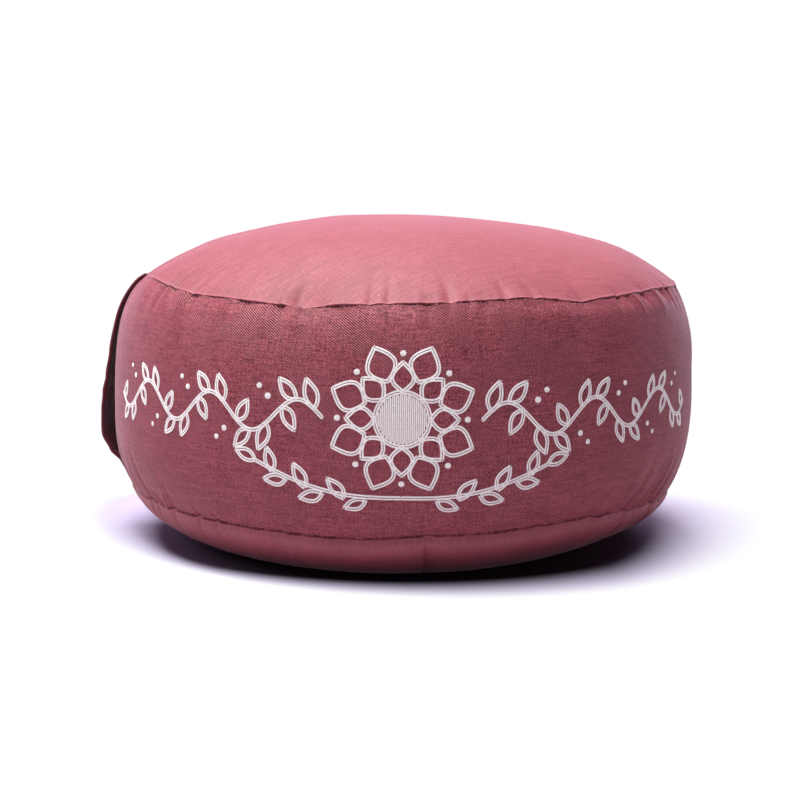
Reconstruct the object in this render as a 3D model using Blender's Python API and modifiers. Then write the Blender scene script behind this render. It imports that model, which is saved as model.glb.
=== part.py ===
"""A round husk-filled meditation cushion with a carrying strap down its left side.

Its cover is a round top panel, a side band and a bottom of two half panels, sewn edge to
edge. The filling crowns the top, swells the band and settles flat underneath, and the
seams draw the cloth in. Units are metres, +Z is up, the front faces -Y, and the origin is
on the floor under the middle. An azimuth is in degrees from the front, growing towards +X.
"""

from collections import namedtuple
from math import atan2, cos, degrees, exp, hypot, radians, sin

import bmesh
import bpy
from mathutils import Vector

# Driving sizes of the filled cushion
GIRTH_RADIUS = 0.165
GIRTH_HEIGHT = 0.0849
GIRTH_TILT = 0.0085  # the widest line lies this much higher at +X and lower at -X
CROWN_HEIGHT = 0.185
TOP_SEAM_RADIUS = 0.153
TOP_SEAM_HEIGHT = 0.1503
BOTTOM_SEAM_RADIUS = 0.1537
BOTTOM_SEAM_HEIGHT = 0.0332
CONTACT_RADIUS = 0.082

# How sharply each stretch of the profile turns
CROWN_POWER = 3.07
BAND_POWER = 3.0
BASE_POWER = 2.25

# Seams: how deep and how wide the thread draws the cloth in
SEAM_DEPTH = 0.0018
SEAM_HALF_WIDTH = 0.0030
SEAM_ROLL = 0.0085  # the cloth rolls into a seam from this far away
MIDDLE_SEAM_X = 0.0125  # the bottom's straight seam runs front to back here
MIDDLE_SEAM_DEPTH = 0.0014
MIDDLE_SEAM_HALF_WIDTH = 0.0028

# Carrying strap, flat against the band at its ends
STRAP_AZIMUTH = -90.0
STRAP_WIDTH = 0.030
STRAP_THICKNESS = 0.0024
STRAP_GAP = 0.0004  # clearance where it lies on the band
STRAP_TOP = 0.1495
STRAP_BOTTOM = 0.0335

# Fineness of the mesh
TURN_STEPS = 128
TOP_RINGS = 10
BAND_RINGS = 7
BOTTOM_RINGS = 7
STRAP_ROWS = 26
STRAP_COLUMNS = 4
SLIVER = 0.0005  # points nearer than this on the underside are merged

CLOTH_COLOUR = (0.42, 0.145, 0.165, 1.0)
STRAP_COLOUR = (0.34, 0.105, 0.125, 1.0)

# How each seam wanders round the cushion: its lift above its nominal height and how far it
# is pulled in towards the middle
Sway = namedtuple("Sway", "azimuth lift pull")
TOP_SEAM_SWAY = [
    Sway(-150, 0.0010, 0.0),
    Sway(-118, -0.0012, 0.0),
    Sway(-90, 0.0012, 0.0065),
    Sway(-66, 0.0029, 0.0010),
    Sway(-43, -0.0015, 0.0),
    Sway(-20, -0.0034, 0.0),
    Sway(0, -0.0006, 0.0),
    Sway(24, 0.0020, 0.0),
    Sway(36, -0.0009, 0.0),
    Sway(48, 0.0007, 0.0),
    Sway(62, 0.0018, 0.0),
    Sway(92, -0.0008, 0.0),
    Sway(120, 0.0014, 0.0005),
    Sway(146, -0.0015, 0.0),
    Sway(180, 0.0006, 0.0),
]
BOTTOM_SEAM_SWAY = [
    Sway(-140, 0.0012, 0.0),
    Sway(-95, -0.0018, 0.0),
    Sway(-63, 0.0004, 0.0),
    Sway(-36, -0.0012, 0.0),
    Sway(-11, -0.0025, 0.0),
    Sway(10, 0.0, 0.0),
    Sway(42, 0.0030, 0.0),
    Sway(62, 0.0005, 0.0),
    Sway(100, -0.0010, 0.0),
    Sway(135, 0.0014, 0.0),
    Sway(178, -0.0008, 0.0),
]

# The main folds that run into a seam. Each is a hollow that fades across over its half
# width, and away from the seam over its reach on the panel and its reach on the band
Fold = namedtuple("Fold", "azimuth half_width depth panel_reach band_reach")
TOP_FOLDS = [
    Fold(-160, 0.008, 0.0013, 0.030, 0.016),
    Fold(-131, 0.007, 0.0016, 0.018, 0.022),
    Fold(-103, 0.007, 0.0018, 0.020, 0.030),
    Fold(-78, 0.007, 0.0018, 0.022, 0.026),
    Fold(-57, 0.007, 0.0016, 0.016, 0.020),
    Fold(-46, 0.007, 0.0013, 0.014, 0.014),
    Fold(-21, 0.009, 0.0022, 0.045, 0.010),
    Fold(4, 0.007, 0.0010, 0.008, 0.016),
    Fold(15, 0.007, 0.0010, 0.016, 0.014),
    Fold(37, 0.008, 0.0020, 0.020, 0.032),
    Fold(51, 0.007, 0.0015, 0.012, 0.018),
    Fold(64, 0.007, 0.0018, 0.014, 0.022),
    Fold(83, 0.008, 0.0015, 0.024, 0.020),
    Fold(107, 0.007, 0.0014, 0.018, 0.026),
    Fold(133, 0.009, 0.0018, 0.034, 0.018),
    Fold(168, 0.007, 0.0012, 0.014, 0.024),
]
BOTTOM_FOLDS = [
    Fold(-164, 0.008, 0.0012, 0.016, 0.020),
    Fold(-127, 0.007, 0.0016, 0.014, 0.030),
    Fold(-72, 0.008, 0.0016, 0.016, 0.034),
    Fold(-55, 0.007, 0.0014, 0.014, 0.024),
    Fold(-42, 0.007, 0.0012, 0.012, 0.012),
    Fold(5, 0.006, 0.0010, 0.020, 0.006),
    Fold(41, 0.007, 0.0012, 0.012, 0.020),
    Fold(52, 0.008, 0.0018, 0.016, 0.036),
    Fold(63, 0.007, 0.0016, 0.014, 0.022),
    Fold(95, 0.008, 0.0014, 0.016, 0.026),
    Fold(122, 0.007, 0.0012, 0.014, 0.018),
    Fold(151, 0.008, 0.0016, 0.018, 0.030),
]

# How far the strap stands off the band as it comes down
StandOff = namedtuple("StandOff", "height distance")
STRAP_STAND_OFFS = [
    StandOff(0.0335, 0.0),
    StandOff(0.0430, 0.0003),
    StandOff(0.0500, 0.0032),
    StandOff(0.0590, 0.0056),
    StandOff(0.0720, 0.0059),
    StandOff(0.0830, 0.0052),
    StandOff(0.0930, 0.0034),
    StandOff(0.1060, 0.0019),
    StandOff(0.1250, 0.0009),
    StandOff(0.1495, 0.0),
]


def eased(share):
    """A share from 0 to 1, slow at both ends."""
    share = min(max(share, 0.0), 1.0)
    return share * share * (3.0 - 2.0 * share)


def turn_between(azimuth, other):
    """The signed angle from other to azimuth, from -180 to 180 degrees."""
    return (azimuth - other + 180.0) % 360.0 - 180.0


def sway_at(rows, azimuth, column):
    """One column of a seam's sway, blended between the rows on either side."""
    for row, following in zip(rows, rows[1:] + rows[:1]):
        span = (following.azimuth - row.azimuth) % 360.0
        past = (azimuth - row.azimuth) % 360.0
        if past <= span:
            start = getattr(row, column)
            return start + (getattr(following, column) - start) * eased(past / span)
    raise ValueError("the rows must go once round, in order of azimuth")


def fold_depth(folds, azimuth, radius, from_seam, reach_column):
    """How deep the folds draw the cloth in, at a distance from their seam."""
    depth = 0.0
    for fold in folds:
        reach = getattr(fold, reach_column)
        across = radians(turn_between(azimuth, fold.azimuth)) * radius / fold.half_width
        depth += fold.depth * exp(-across * across - (from_seam / reach) ** 2)
    return depth


def drawn(radius, height, depth, from_seam, far_slope, up):
    """A point drawn in by a depth: slantwise at the seam, and at far_slope away from it.

    The slope is in degrees below the level, 0 straight in and 90 straight down; up turns it
    over for the underside.
    """
    at_seam = exp(-(from_seam / SEAM_ROLL) ** 2)
    slope = radians(far_slope + (45.0 - far_slope) * at_seam)
    rise = depth * sin(slope)
    return radius - depth * cos(slope), height + (rise if up else -rise)


def girth_height(azimuth):
    """The height of the band's widest line."""
    return GIRTH_HEIGHT + GIRTH_TILT * sin(radians(azimuth))


def band_radius(azimuth, height):
    """The radius of the swollen band at a height, without its folds."""
    widest = girth_height(azimuth)
    if height > widest:
        seam_height = TOP_SEAM_HEIGHT + sway_at(TOP_SEAM_SWAY, azimuth, "lift")
        share = (height - widest) / (seam_height - widest)
        seam_radius = TOP_SEAM_RADIUS
        pull = sway_at(TOP_SEAM_SWAY, azimuth, "pull")
    else:
        seam_height = BOTTOM_SEAM_HEIGHT + sway_at(BOTTOM_SEAM_SWAY, azimuth, "lift")
        share = (widest - height) / (widest - seam_height)
        seam_radius = BOTTOM_SEAM_RADIUS
        pull = sway_at(BOTTOM_SEAM_SWAY, azimuth, "pull")
    share = min(share, 1.0)
    return GIRTH_RADIUS - (GIRTH_RADIUS - seam_radius) * share ** BAND_POWER - pull * share ** 8


def collection_named(name):
    """A new collection in the scene."""
    collection = bpy.data.collections.new(name)
    bpy.context.scene.collection.children.link(collection)
    return collection


def cloth(name, colour):
    """A matt cotton finish."""
    material = bpy.data.materials.new(name)
    material.use_nodes = True
    shader = material.node_tree.nodes["Principled BSDF"]
    shader.inputs["Base Color"].default_value = colour
    shader.inputs["Roughness"].default_value = 0.88
    shader.inputs["Metallic"].default_value = 0.0
    return material


# The cushion is turned from a level profile, whose rings are then drawn to the seams' sway.
# Each ring is named by its stretch and its share: 0 at the middle or the widest line, 1 at
# the seam
Ring = namedtuple("Ring", "stretch share drawn_in")


def shares_to_seam(length, count):
    """Even shares of a stretch up to where it rolls into its seam, then the seam's lip."""
    roll = 1.0 - SEAM_ROLL / length
    shares = [roll * i / (count - 2) for i in range(count - 1)]
    return shares + [1.0 - SEAM_HALF_WIDTH / length]


def profile_rings():
    """The rings from the crown's middle to the bottom's middle."""
    upper_length = TOP_SEAM_HEIGHT - GIRTH_HEIGHT
    lower_length = GIRTH_HEIGHT - BOTTOM_SEAM_HEIGHT
    base_length = BOTTOM_SEAM_RADIUS - CONTACT_RADIUS
    rings = []
    for share in shares_to_seam(TOP_SEAM_RADIUS, TOP_RINGS):
        rings.append(Ring("crown", share, 0.0))
    rings.append(Ring("upper", 1.0, 1.0))
    for share in reversed(shares_to_seam(upper_length, BAND_RINGS)):
        rings.append(Ring("upper", share, 0.0))
    for share in shares_to_seam(lower_length, BAND_RINGS)[1:]:
        rings.append(Ring("lower", share, 0.0))
    rings.append(Ring("lower", 1.0, 1.0))
    for share in reversed(shares_to_seam(base_length, BOTTOM_RINGS)):
        rings.append(Ring("base", share, 0.0))
    rings.append(Ring("contact", 0.5, 0.0))
    rings.append(Ring("contact", 0.0, 0.0))
    return rings


def ring_place(ring, azimuth):
    """The radius and height of one point of a ring."""
    top_height = TOP_SEAM_HEIGHT + sway_at(TOP_SEAM_SWAY, azimuth, "lift")
    top_radius = TOP_SEAM_RADIUS - sway_at(TOP_SEAM_SWAY, azimuth, "pull")
    bottom_height = BOTTOM_SEAM_HEIGHT + sway_at(BOTTOM_SEAM_SWAY, azimuth, "lift")
    widest = girth_height(azimuth)
    share = ring.share
    if ring.stretch == "crown":
        level = TOP_SEAM_HEIGHT + (top_height - TOP_SEAM_HEIGHT) * share ** 4
        radius = top_radius * share
        height = level + (CROWN_HEIGHT - level) * (1.0 - share ** CROWN_POWER)
        from_seam = (1.0 - share) * top_radius
        depth = fold_depth(TOP_FOLDS, azimuth, radius, from_seam, "panel_reach")
        return drawn(radius, height, depth, from_seam, 90.0, False)
    if ring.stretch == "upper":
        height = widest + (top_height - widest) * share
        radius = band_radius(azimuth, height)
        from_seam = top_height - height
        depth = fold_depth(TOP_FOLDS, azimuth, radius, from_seam, "band_reach")
        return drawn(radius, height, depth + SEAM_DEPTH * ring.drawn_in, from_seam, 0.0, False)
    if ring.stretch == "lower":
        height = widest - (widest - bottom_height) * share
        radius = band_radius(azimuth, height)
        from_seam = height - bottom_height
        depth = fold_depth(BOTTOM_FOLDS, azimuth, radius, from_seam, "band_reach")
        return drawn(radius, height, depth + SEAM_DEPTH * ring.drawn_in, from_seam, 0.0, True)
    if ring.stretch == "base":
        radius = CONTACT_RADIUS + (BOTTOM_SEAM_RADIUS - CONTACT_RADIUS) * share
        height = bottom_height * share ** BASE_POWER
        from_seam = (1.0 - share) * (BOTTOM_SEAM_RADIUS - CONTACT_RADIUS)
        depth = share * fold_depth(BOTTOM_FOLDS, azimuth, radius, from_seam, "panel_reach")
        return drawn(radius, height, depth, from_seam, 90.0, True)
    return CONTACT_RADIUS * share, 0.0


def turned_solid(name, rings, steps):
    """A closed solid turned from one point for each ring, one step to each azimuth."""
    profile = bmesh.new()
    previous = None
    for row in range(len(rings)):
        # A plain cone of rings: its points take their true places once it is turned
        radius = 0.0 if row in (0, len(rings) - 1) else 1.0
        corner = profile.verts.new((radius, 0.0, len(rings) - row))
        if previous:
            profile.edges.new((previous, corner))
        previous = corner
    mesh = bpy.data.meshes.new(name + "_profile")
    profile.to_mesh(mesh)
    profile.free()
    guide = bpy.data.objects.new(name + "_profile", mesh)
    bpy.context.scene.collection.objects.link(guide)
    screw = guide.modifiers.new("turn", "SCREW")
    screw.steps = steps
    screw.render_steps = steps
    screw.use_merge_vertices = True
    screw.merge_threshold = 0.0001
    bpy.context.view_layer.update()
    evaluated = guide.evaluated_get(bpy.context.evaluated_depsgraph_get())
    solid = bpy.data.meshes.new_from_object(evaluated)
    solid.name = name
    bpy.data.objects.remove(guide)
    bpy.data.meshes.remove(mesh)
    return solid


def draw_to_shape(mesh, rings):
    """Moves each point of the turned rings to its place on the filled cushion."""
    for vertex in mesh.vertices:
        row = len(rings) - round(vertex.co.z)
        azimuth = degrees(atan2(vertex.co.x, -vertex.co.y))
        radius, height = ring_place(rings[row], azimuth)
        bearing = radians(azimuth)
        vertex.co = (radius * sin(bearing), -radius * cos(bearing), height)


def is_under(corner):
    """Whether a point lies on the two bottom half panels, inside their seam with the band."""
    inside = hypot(corner.co.x, corner.co.y) < BOTTOM_SEAM_RADIUS - SEAM_DEPTH
    return inside and corner.co.z < BOTTOM_SEAM_HEIGHT


def sew_middle_seam(mesh):
    """Sinks the straight seam of the two bottom half panels into the underside."""
    form = bmesh.new()
    form.from_mesh(mesh)
    for offset in (-MIDDLE_SEAM_HALF_WIDTH, 0.0, MIDDLE_SEAM_HALF_WIDTH):
        below = [face for face in form.faces if all(is_under(corner) for corner in face.verts)]
        edges = {edge for face in below for edge in face.edges}
        corners = {corner for face in below for corner in face.verts}
        bmesh.ops.bisect_plane(
            form,
            geom=below + list(edges) + list(corners),
            dist=0.00002,
            plane_co=(MIDDLE_SEAM_X + offset, 0.0, 0.0),
            plane_no=(1.0, 0.0, 0.0),
        )
    underside = [corner for corner in form.verts if is_under(corner)]
    bmesh.ops.remove_doubles(form, verts=underside, dist=SLIVER)
    for corner in form.verts:
        from_seam = abs(corner.co.x - MIDDLE_SEAM_X)
        if is_under(corner) and from_seam < MIDDLE_SEAM_HALF_WIDTH:
            corner.co.z += MIDDLE_SEAM_DEPTH * (1.0 - from_seam / MIDDLE_SEAM_HALF_WIDTH)
    bmesh.ops.triangulate(form, faces=form.faces[:])
    form.to_mesh(mesh)
    form.free()


def make_cushion(collection):
    """The filled cover, one solid with its crown, drawn-in seams and main folds."""
    rings = profile_rings()
    mesh = turned_solid("cushion", rings, TURN_STEPS)
    draw_to_shape(mesh, rings)
    sew_middle_seam(mesh)
    mesh.shade_smooth()
    mesh.materials.append(cloth("cover_twill", CLOTH_COLOUR))
    cushion = bpy.data.objects.new("cushion", mesh)
    collection.objects.link(cushion)
    return cushion


def stand_off_at(height):
    """How far the strap stands off the band at a height."""
    for low, high in zip(STRAP_STAND_OFFS, STRAP_STAND_OFFS[1:]):
        if low.height <= height <= high.height:
            share = eased((height - low.height) / (high.height - low.height))
            return low.distance + (high.distance - low.distance) * share
    return 0.0


def strap_point(across, height):
    """A point of the strap's inner face, across from -1 to 1."""
    azimuth = STRAP_AZIMUTH + degrees(across * STRAP_WIDTH / 2.0 / GIRTH_RADIUS)
    radius = band_radius(azimuth, height) + STRAP_GAP + stand_off_at(height)
    bearing = radians(azimuth)
    return Vector((radius * sin(bearing), -radius * cos(bearing), height))


def make_strap(collection):
    """The carrying strap, a doubled strip of the same twill down the left side."""
    form = bmesh.new()
    bmesh.ops.create_grid(form, x_segments=STRAP_COLUMNS, y_segments=STRAP_ROWS, size=1.0)
    for corner in form.verts:
        rise = (corner.co.y + 1.0) / 2.0
        height = STRAP_BOTTOM + (STRAP_TOP - STRAP_BOTTOM) * rise
        corner.co = strap_point(corner.co.x, height)
    mesh = bpy.data.meshes.new("carry_handle")
    form.to_mesh(mesh)
    form.free()
    strap = bpy.data.objects.new("carry_handle", mesh)
    collection.objects.link(strap)
    thickness = strap.modifiers.new("cloth", "SOLIDIFY")
    thickness.thickness = STRAP_THICKNESS
    thickness.offset = 1.0
    mesh.shade_smooth()
    mesh.materials.append(cloth("strap_twill", STRAP_COLOUR))
    return strap


for leftover in list(bpy.data.objects):
    bpy.data.objects.remove(leftover)
parts = collection_named("meditation_cushion")
make_cushion(parts)
make_strap(parts)
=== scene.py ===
import random
from collections import namedtuple
from math import ceil, cos, degrees, pi, radians, sin, sqrt, tau

import bmesh
import bpy
import numpy as np
from mathutils import Matrix, Vector


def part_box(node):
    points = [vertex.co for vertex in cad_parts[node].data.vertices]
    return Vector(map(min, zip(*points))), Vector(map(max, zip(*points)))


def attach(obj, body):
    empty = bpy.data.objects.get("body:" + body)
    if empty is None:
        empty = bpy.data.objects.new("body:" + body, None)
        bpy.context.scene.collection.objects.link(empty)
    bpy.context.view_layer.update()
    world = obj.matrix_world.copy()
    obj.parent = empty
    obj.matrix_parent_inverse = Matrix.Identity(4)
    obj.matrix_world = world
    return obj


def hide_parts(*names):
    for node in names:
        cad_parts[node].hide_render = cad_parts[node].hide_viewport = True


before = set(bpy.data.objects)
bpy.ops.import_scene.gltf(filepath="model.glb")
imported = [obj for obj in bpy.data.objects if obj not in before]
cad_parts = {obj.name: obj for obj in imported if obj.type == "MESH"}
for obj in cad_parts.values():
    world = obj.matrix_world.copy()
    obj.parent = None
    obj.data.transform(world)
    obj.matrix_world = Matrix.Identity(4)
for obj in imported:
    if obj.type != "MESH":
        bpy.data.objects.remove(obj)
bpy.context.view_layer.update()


# The filled cover
# A round top panel, a side band and a bottom of two half panels, cut from dusty rose cotton
# twill and sewn edge to edge with plain seams. It is packed tight with husk, so the top
# crowns, the band swells, and each seam draws the cloth into a groove with small gathers.

GIRTH_RADIUS = 0.165
GIRTH_SWELL = 0.0011  # the right side swells this much further
GIRTH_HEIGHT = 0.0849
GIRTH_TILT = 0.0085  # the widest line lies this much higher at +X and lower at -X
CROWN_HEIGHT = 0.185
TOP_SEAM_RADIUS = 0.153
TOP_SEAM_HEIGHT = 0.1503
BOTTOM_SEAM_RADIUS = 0.1537
BOTTOM_SEAM_HEIGHT = 0.0332
CONTACT_RADIUS = 0.082
CROWN_POWER = 3.07
BAND_POWER = 3.0
BASE_POWER = 2.25
LIFT_POWER = 4  # a seam's lift fades this sharply over the crown
PULL_POWER = 8  # and its pull over the band
BASE_LEAN = 0.40  # the underside is fuller on the left and lifts more on the right
BASE_ROLL = 0.0084  # the bottom panel bulges out this much just below its seam
BASE_ROLL_SHARES = (0.36, 0.53, 0.11)  # all round, more at the front, and more on the right
BASE_ROLL_PLACE = 0.014
BASE_ROLL_START = 0.3
SEAM_ROLL = 0.0085  # the cloth rolls into a seam from this far away
SEAM_DRAW_REACH = 0.0051
PANEL_DRAW = 0.0003  # how deep the roll goes on a panel, and on the band
BAND_DRAW = 0.0007
SEAM_SLIT = 0.0004  # how deep the seam's own slit goes below the roll
PANEL_SLIT_WIDTH = 0.00030
BAND_SLIT_WIDTH = 0.00034
SEAM_LIP = 0.00026  # the panel's turned edge stands this proud beside the slit
SEAM_LIP_PLACE = 0.0007
SEAM_LIP_WIDTH = 0.00042
LIP_HIGHLIGHT = (0.30, 0.45)  # how pale the lip's painted highlight is, all round and where the stitches pull
LIP_HIGHLIGHT_TURN = 3.0
SLIT_SHADE_WIDTH = 0.000425
SLIT_SHADE_GROWTH = 1.5  # the slit's painted shade deepens this fast with the pull, above a slack
SLIT_SHADE_SLACK = 0.3
SLIT_SHADE_MOST = 1.2
COVER_STEPS = 920
FRONT_SHARE = 0.36  # the steps lie this much closer together at the front
RING_PITCH = 0.0074
CONTACT_SHARES = (0.75, 0.5, 0.25, 0.0)

# Where the cloth gets painted light and shade, and how strongly its ribs show
PANEL_RIBS = 0.10  # the weave's ribs hardly show on the round panels
BASE_RIBS = 0.03
RIB_AZIMUTHS = (-180.0, -110.0, -70.0, -48.0, -32.0, 22.0, 46.0, 110.0, 180.0)
RIB_SHARES = (0.50, 0.45, 0.26, 0.36, 0.78, 0.84, 0.22, 0.40, 0.50)
RIB_HEIGHTS = (0.070, 0.112)  # the ribs show only this strongly below, and fully above
RIB_LOW_SHARE = 0.55
BASE_PAINTED_LIGHT = 0.50  # painted light on the bottom panel's bulge, and painted shade inwards towards the floor
BASE_PAINTED_LIGHT_PLACE = 0.0055
BASE_PAINTED_SHADE = 0.85
BASE_PAINTED_SHADE_PLACE = (0.012, 0.034)
BASE_SIDE = 0.013  # towards the sides the painted shade starts this much nearer the seam
BASE_SIDE_START = 0.004

# The tables below are in millimetres, and in degrees from the front, growing towards +X
MM = 0.001

# How far from a seam the closer rings lie
NEAR_SEAM = (0.2, 0.4, 0.6, 0.9, 1.3, 1.8, 2.6, 3.8, 5.2, 6.8, 8.6, 10.6, 12.8, 15.2, 17.8, 20.6, 23.6)

# How the crown leans from a true dome, by the distance across
Lean = namedtuple("Lean", "across lift")
CROWN_LEAN = [
    Lean(-150, 0.4), Lean(-118, 0), Lean(-88, -1.9), Lean(-66, -1.6), Lean(-36, 0),
    Lean(0, 0.2), Lean(62, -0.9), Lean(95, -0.2), Lean(128, 2), Lean(150, 1.2),
]

# Painted light on the top panel: paler towards the right, a little darker at the far left
CrownLight = namedtuple("CrownLight", "across rub")
CROWN_PAINTED_LIGHT = [
    CrownLight(-150, -0.06), CrownLight(-40, 0.0), CrownLight(0, 0.09),
    CrownLight(50, 0.11), CrownLight(90, 0.24), CrownLight(150, 0.20),
]

# How each seam wanders round the cushion: lift above its level, and pull to the middle
Sway = namedtuple("Sway", "azimuth lift pull", defaults=[0])
TOP_SEAM_SWAY = [
    Sway(-150, 1), Sway(-118, -1.2), Sway(-90, 1.2, 8),
    Sway(-78, 2, 6.2), Sway(-66, 2.9, 2.4), Sway(-43, -1.5),
    Sway(-20, -3.4), Sway(0, -0.6), Sway(24, 2),
    Sway(36, -0.9), Sway(48, 0.7), Sway(62, 1.8, -0.7),
    Sway(80, 0.4, -2.4), Sway(96, 0.4, -2), Sway(120, 1.4, 0.5),
    Sway(146, -1.5), Sway(180, 0.6),
]
BOTTOM_SEAM_SWAY = [
    Sway(-140, 1.2), Sway(-95, -1.8, -2.2), Sway(-63, 0.4, -2.6),
    Sway(-36, -1.2, -0.6), Sway(-11, -2.5), Sway(10, 0),
    Sway(37.5, 3.1), Sway(42.5, 2.5), Sway(45.5, 3),
    Sway(54, 1.8), Sway(57.5, 2.2), Sway(64, 0.4, -1),
    Sway(100, -1, -1.4), Sway(135, 1.4), Sway(178, -0.8),
]

# The folds that run into a seam, each with its depth and reach on the panel and on the
# band; a depth below nothing is a ridge. The band's part leans sideways as it leaves
FOLD_MEASURES = "azimuth half_width panel_depth panel_reach band_depth band_reach lean"
Fold = namedtuple("Fold", FOLD_MEASURES, defaults=[0])
TOP_FOLDS = [
    Fold(-160, 6, 1.2, 30, 1, 16), Fold(-146, 2.6, 0.7, 10, 0.8, 13, 0.2),
    Fold(-131, 4.5, 1.3, 18, 1.3, 22, -0.2), Fold(-116, 2.4, 0.8, 9, 0.9, 12),
    Fold(-103, 4, 1.4, 18, 1.5, 28, 0.3), Fold(-78, 3.4, 1.4, 18, 1.4, 22, -0.2),
    Fold(-70, 4, 0.2, 10, 0.4, 18, 0.2), Fold(-64.5, 4.4, -0.2, 12, -0.4, 24, 0.1),
    Fold(-60.5, 3.6, 0.2, 8, 0.4, 18), Fold(-56.4, 1.8, 1.3, 8, 1.3, 12, -0.1),
    Fold(-54.4, 1.4, -0.5, 6, -0.6, 8), Fold(-52.5, 1.5, 1.2, 7, 1.2, 9, 0.2),
    Fold(-48.7, 4.2, 0, 8, -0.8, 21), Fold(-46, 1.7, 1.2, 9, 1.1, 9, 0.1),
    Fold(-44.6, 3.6, 0, 8, 0.8, 19), Fold(-35.5, 5, 0, 8, -0.7, 18),
    Fold(-42, 4, 0.4, 20, 0, 10), Fold(-31, 5, -0.5, 24, 0.3, 10),
    Fold(-18.6, 8.5, 2, 45, 0.8, 8), Fold(-20.6, 3.4, 1.3, 21, -1.3, 17),
    Fold(-23.6, 2.6, -0.5, 14, 0.8, 13), Fold(-12, 6, -0.6, 28, 0, 10),
    Fold(-6.3, 2.6, 1, 15, 0.4, 7), Fold(-3, 2.2, 0.9, 13, 0, 8),
    Fold(4.3, 2.2, 0.3, 6, 0.7, 12, 0.1), Fold(8.4, 2.8, 1.1, 14, 0.5, 10),
    Fold(15, 2.6, 0.3, 8, 0.7, 13, -0.1), Fold(19.5, 2.6, 1, 13, 0.6, 10),
    Fold(25.2, 3, 0.9, 14, 0.4, 9), Fold(30, 4, -0.3, 14, 0, 10),
    Fold(36.5, 4, 1, 12, 0.8, 18, -0.3), Fold(41, 4.6, -0.4, 14, -0.5, 14, -0.2),
    Fold(46.5, 1.7, 1, 5, 1.6, 7), Fold(49, 2, 0, 6, 0.6, 8, 0.3),
    Fold(51.3, 1.7, -0.3, 5, -1.1, 7, 0.35), Fold(54.8, 1.9, 0.4, 4, 1.4, 6, 0.3),
    Fold(59.6, 2.8, -0.3, 6, -1.3, 8, 0.3), Fold(63.4, 1.6, 0.4, 4, 1.3, 6, 0.2),
    Fold(65.4, 1.6, -0.2, 4, -0.7, 6, 0.2), Fold(67.6, 1.8, 0.6, 3, 1.9, 7.5),
    Fold(71.8, 2.8, -0.2, 6, -0.8, 10, 0.2), Fold(76.5, 2.6, 0.2, 6, 0.8, 12, 0.1),
    Fold(83, 4, 1.2, 22, 1.2, 18, -0.2), Fold(95, 2.2, 0.8, 9, 0.9, 12, 0.2),
    Fold(107, 3.6, 1.2, 18, 1.2, 26, 0.3), Fold(121, 2.4, 0.8, 10, 0.8, 12, -0.2),
    Fold(133, 6, 1.5, 34, 1.3, 18), Fold(149, 2.6, 0.9, 12, 0.9, 14, 0.2),
    Fold(168, 4, 1.1, 14, 1.2, 24, -0.2),
]
BOTTOM_FOLDS = [
    Fold(-164, 4.6, 1.1, 16, 1.1, 20, 0.2), Fold(-146, 2.6, 0.8, 10, 0.9, 14),
    Fold(-127, 4, 1.3, 14, 1.4, 30, -0.3), Fold(-108, 2.4, 0.9, 10, 0.9, 14, 0.2),
    Fold(-84, 2.6, 1, 12, 1, 18), Fold(-72, 3.4, 1.3, 16, 1.3, 30, -0.2),
    Fold(-66, 2.6, -0.5, 10, -0.7, 22, -0.3), Fold(-60, 2.4, 1.1, 12, 1.2, 22, -0.4),
    Fold(-57, 2, 1, 9, 1.1, 9, -0.9), Fold(-54.6, 2.6, 0, 6, -1.3, 8.5, -1.6),
    Fold(-53, 1.4, -0.4, 6, -1.2, 10, 0.1), Fold(-50.8, 1.6, 1.2, 9, 1.3, 12),
    Fold(-43, 1.7, 1.3, 8, 1.2, 8), Fold(-38, 1.6, 1.1, 7, 1, 7),
    Fold(-24, 4, 0.4, 12, 0.3, 10), Fold(-10, 3, 0.5, 10, 0.3, 6),
    Fold(5, 3, 1, 20, 0.5, 5), Fold(13, 3, 0.6, 16, 0, 6),
    Fold(27, 3.4, 0.5, 12, 0.4, 10, 0.1), Fold(39.5, 2.2, 1.3, 10, 1.2, 10, 0.2),
    Fold(46.2, 2.6, 0.3, 10, -0.9, 27, 0.55), Fold(50, 2.6, 1.3, 14, 1.4, 30, 0.5),
    Fold(54, 1.8, 1.2, 10, 1.2, 18, 0.6), Fold(57.3, 2.4, -0.4, 10, -1.8, 34, 0.7),
    Fold(61.5, 2.4, 1.5, 14, 1.7, 28, 0.6), Fold(70, 2.2, 0.9, 10, 1, 16, 0.2),
    Fold(80, 3, 0.9, 12, 1, 18), Fold(95, 3.6, 1.2, 16, 1.2, 26, -0.2),
    Fold(122, 3, 1, 14, 1.1, 18, 0.3), Fold(151, 4, 1.3, 18, 1.3, 30),
    Fold(171, 2.4, 0.8, 10, 0.8, 12, 0.2),
]

# Shallow dents where the husk has settled under the band; a depth below nothing bulges
Dent = namedtuple("Dent", "azimuth height half_width half_height depth")
DENTS = [
    Dent(-56, 72, 30, 4.5, 0.5), Dent(-38, 118, 34, 12, 0.6),
    Dent(-8, 56, 40, 10, 0.5), Dent(22, 126, 30, 11, 0.5),
    Dent(30, 143.8, 26, 5, -0.8), Dent(57, 143.8, 32, 5, -0.9),
    Dent(46, 122, 50, 12, 0.7), Dent(44, 88, 28, 14, 0.7),
    Dent(78, 104, 32, 12, 0.7), Dent(118, 70, 36, 14, 0.9),
    Dent(158, 110, 34, 12, 0.8), Dent(-152, 76, 36, 13, 0.9),
    Dent(-116, 112, 30, 12, 0.7),
]

# Small gathers all along both seams, drawn at random between these limits
GATHER_SEED = 11
GATHER_TURN = (2.2, 5.2)  # degrees from one gather to the next
GATHER_WIDTH = (1.1, 2.2)
GATHER_DEPTH = (0.08, 0.38)
GATHER_REACH = (3.0, 8.5)
GATHER_LEAN = (-0.4, 0.4)
RIDGE_CHANCE = 0.35  # this share of them are ridges, with this share of the depth
RIDGE_SHARE = 0.6

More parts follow.
